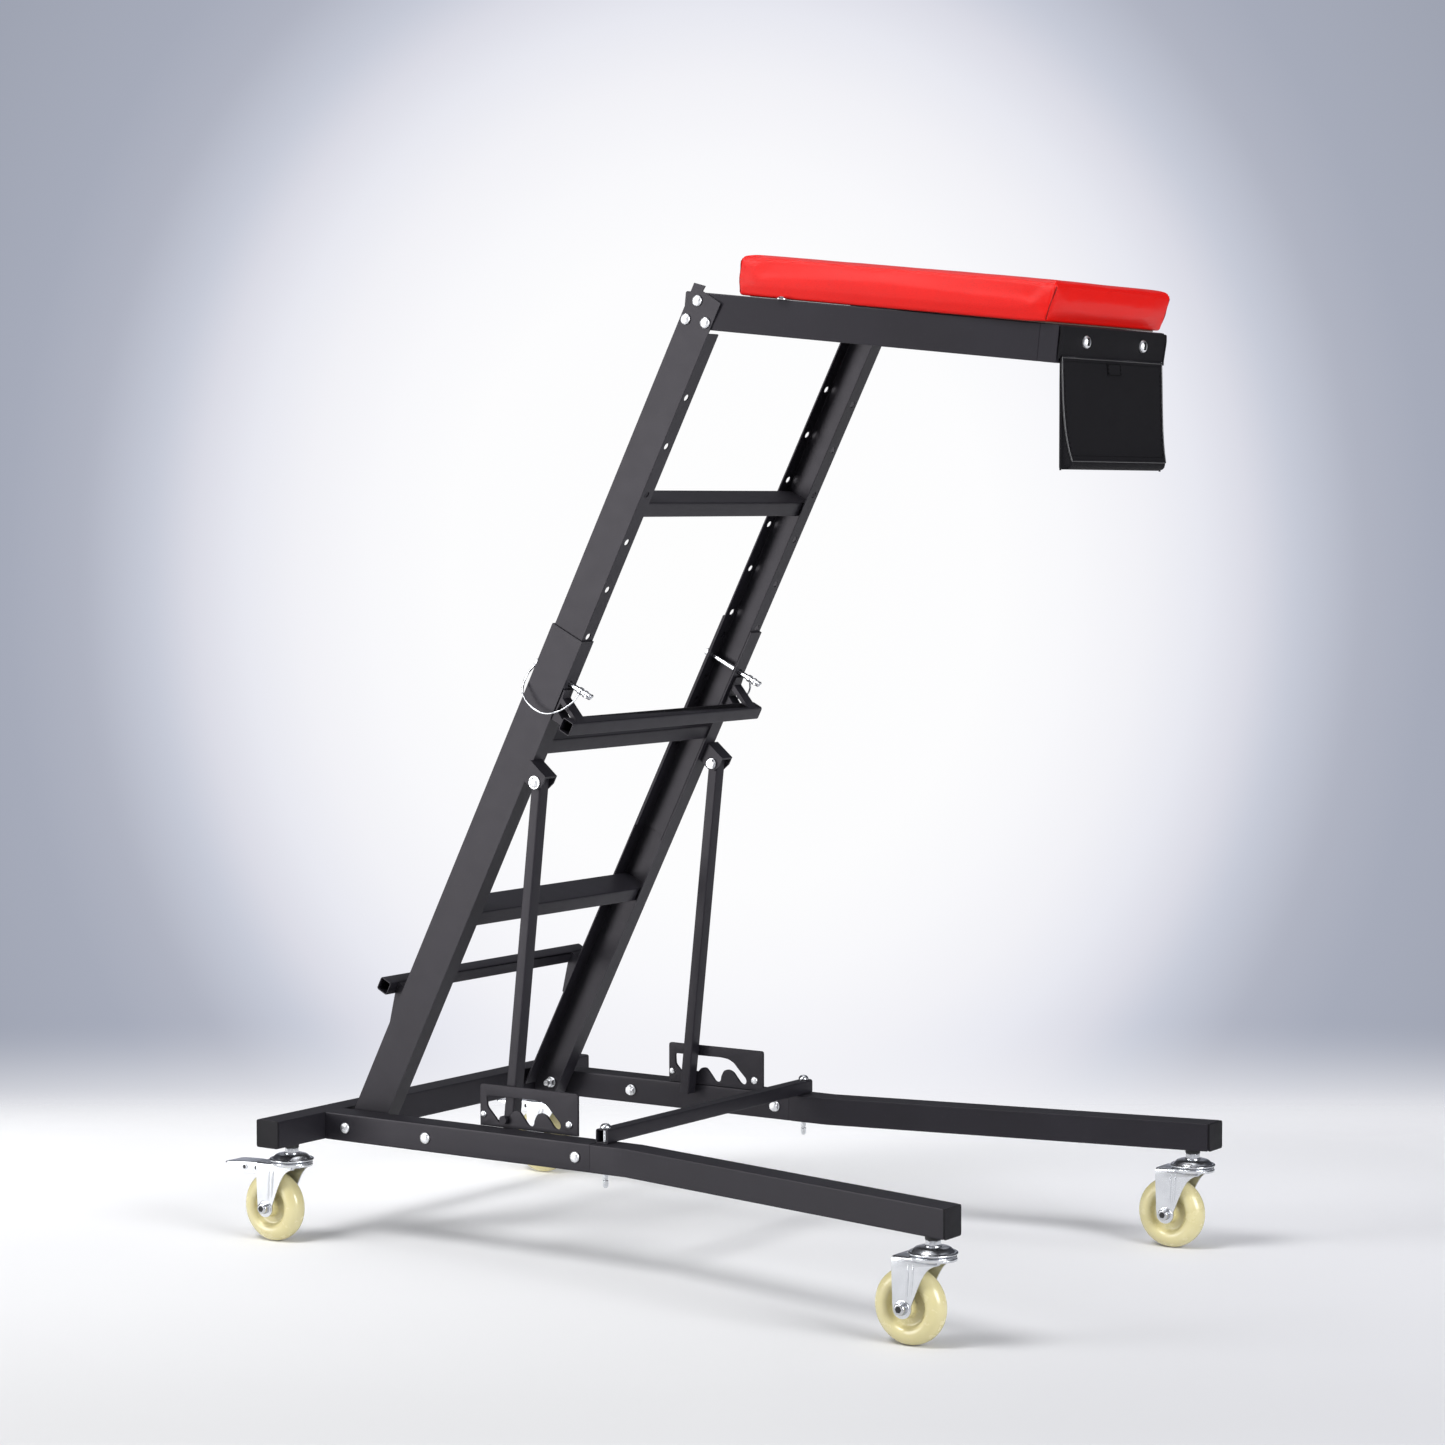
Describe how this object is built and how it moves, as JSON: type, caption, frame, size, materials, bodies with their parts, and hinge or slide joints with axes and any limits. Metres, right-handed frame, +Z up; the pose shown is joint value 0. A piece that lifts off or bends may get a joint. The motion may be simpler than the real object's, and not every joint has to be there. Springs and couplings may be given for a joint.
{
  "type": "topside creeper",
  "caption": "Foldable topside creeper: telescoping ladder leaning over a splayed wheeled base, with steps and a padded deck for lying over an engine bay.",
  "frame": {"origin": "on the floor, at the centre of the bounding box", "axes": "+X the way the deck overhangs, +Y across, towards the far side, +Z up"},
  "size_m": [1.2844, 0.784, 1.3854],
  "materials": {
    "black_steel": "satin black powder coat",
    "zinc": "bright zinc plate",
    "steel_pin": "bright zinc plate",
    "nylon": "glossy cream",
    "cap_plastic": "matte",
    "red_vinyl": "smooth coated vinyl over foam",
    "black_cloth": "woven nylon",
    "board": "dark stained board"
  },
  "bodies": {
    "base": {"rear_beam": "black_steel", "beam_cap_near": "cap_plastic", "beam_cap_far": "cap_plastic", "side_rail_near": "black_steel", "side_rail_far": "black_steel", "leg_near": "black_steel", "leg_far": "black_steel", "leg_cap_near": "cap_plastic", "leg_cap_far": "cap_plastic", "cross_brace": "black_steel", "slot_plate_near": "black_steel", "slot_plate_far": "black_steel", "ladder_pivot_bolt_near": "zinc", "ladder_pivot_bolt_far": "zinc", "leg_bolt_near": "zinc", "leg_bolt_far": "zinc", "caster_stem_rear_near": "zinc", "caster_stem_rear_far": "zinc", "caster_stem_front_near": "zinc", "caster_stem_front_far": "zinc"},
    "lower_ladder": {"lower_rail_near": "black_steel", "lower_rail_far": "black_steel", "lower_step": "black_steel", "front_cross_bar": "black_steel", "rear_cross_bar": "black_steel", "strut_bracket_near": "black_steel", "strut_bracket_far": "black_steel", "strut_bolt_near": "zinc", "strut_bolt_far": "zinc", "lock_pin_near": "steel_pin", "lock_pin_far": "steel_pin"},
    "upper_ladder": {"upper_rail_near": "black_steel", "upper_rail_far": "black_steel", "middle_step": "black_steel", "top_step": "black_steel", "deck_rail_near": "black_steel", "deck_rail_far": "black_steel", "deck_front_beam": "black_steel", "deck_board": "board", "pad": "red_vinyl", "tool_pouch": "black_cloth"},
    "strut_near": {"strut_near": "black_steel"},
    "strut_far": {"strut_far": "black_steel"},
    "brace_pin_near": {"brace_pin_near": "zinc"},
    "brace_pin_far": {"brace_pin_far": "zinc"},
    "fork_rear_near": {"caster_fork_rear_near": "zinc", "caster_axle_rear_near": "steel_pin"},
    "wheel_rear_near": {"caster_wheel_rear_near": "nylon"},
    "pedal_rear_near": {"brake_pedal_rear_near": "zinc"},
    "fork_rear_far": {"caster_fork_rear_far": "zinc", "caster_axle_rear_far": "steel_pin"},
    "wheel_rear_far": {"caster_wheel_rear_far": "nylon"},
    "pedal_rear_far": {"brake_pedal_rear_far": "zinc"},
    "fork_front_near": {"caster_fork_front_near": "zinc", "caster_axle_front_near": "steel_pin"},
    "wheel_front_near": {"caster_wheel_front_near": "nylon"},
    "fork_front_far": {"caster_fork_front_far": "zinc", "caster_axle_front_far": "steel_pin"},
    "wheel_front_far": {"caster_wheel_front_far": "nylon"}
  },
  "joints": [
    {"name": "swivel_rear_near", "type": "hinge", "parent": "base", "child": "fork_rear_near", "pos_m": [-0.51416, -0.32, 0.116], "axis": [0, 0, 1], "continuous": true},
    {"name": "spin_rear_near", "type": "hinge", "parent": "fork_rear_near", "child": "wheel_rear_near", "pos_m": [-0.54616, -0.32, 0.05], "axis": [0, 1, 0], "continuous": true},
    {"name": "brake_rear_near", "type": "hinge", "parent": "fork_rear_near", "child": "pedal_rear_near", "pos_m": [-0.55216, -0.32, 0.106], "axis": [0, 1, 0], "range_deg": [-10, 0]},
    {"name": "swivel_rear_far", "type": "hinge", "parent": "base", "child": "fork_rear_far", "pos_m": [-0.51416, 0.32, 0.116], "axis": [0, 0, 1], "continuous": true},
    {"name": "spin_rear_far", "type": "hinge", "parent": "fork_rear_far", "child": "wheel_rear_far", "pos_m": [-0.54616, 0.32, 0.05], "axis": [0, 1, 0], "continuous": true},
    {"name": "brake_rear_far", "type": "hinge", "parent": "fork_rear_far", "child": "pedal_rear_far", "pos_m": [-0.55216, 0.32, 0.106], "axis": [0, 1, 0], "range_deg": [-10, 0]},
    {"name": "swivel_front_near", "type": "hinge", "parent": "base", "child": "fork_front_near", "pos_m": [0.57384, -0.36, 0.116], "axis": [0, 0, 1], "continuous": true},
    {"name": "spin_front_near", "type": "hinge", "parent": "fork_front_near", "child": "wheel_front_near", "pos_m": [0.54184, -0.36, 0.05], "axis": [0, 1, 0], "continuous": true},
    {"name": "swivel_front_far", "type": "hinge", "parent": "base", "child": "fork_front_far", "pos_m": [0.57384, 0.36, 0.116], "axis": [0, 0, 1], "continuous": true},
    {"name": "spin_front_far", "type": "hinge", "parent": "fork_front_far", "child": "wheel_front_far", "pos_m": [0.54184, 0.36, 0.05], "axis": [0, 1, 0], "continuous": true},
    {"name": "ladder_tilt", "type": "hinge", "parent": "base", "child": "lower_ladder", "pos_m": [-0.45616, 0, 0.164], "axis": [0, 1, 0], "range_deg": [-4, 0]},
    {"name": "strut_swing_near", "type": "hinge", "parent": "lower_ladder", "child": "strut_near", "pos_m": [-0.14461, -0.218, 0.67091], "axis": [0, 1, 0], "range_deg": [0, 1.62]},
    {"name": "strut_swing_far", "type": "hinge", "parent": "lower_ladder", "child": "strut_far", "pos_m": [-0.14461, 0.218, 0.67091], "axis": [0, 1, 0], "range_deg": [0, 1.62]},
    {"name": "ladder_slide", "type": "slide", "parent": "lower_ladder", "child": "upper_ladder", "axis": [0.4521, 0, 0.892], "range_m": [-0.0727, 0.1454]},
    {"name": "brace_pin_lift_near", "type": "slide", "parent": "base", "child": "brace_pin_near", "axis": [0, 0, 1], "range_m": [0, 0.085]},
    {"name": "brace_pin_lift_far", "type": "slide", "parent": "base", "child": "brace_pin_far", "axis": [0, 0, 1], "range_m": [0, 0.085]}
  ],
  "couplings": [
    {"joint": "strut_swing_near", "follows": "ladder_tilt", "ratio": -0.405},
    {"joint": "strut_swing_far", "follows": "ladder_tilt", "ratio": -0.405}
  ]
}
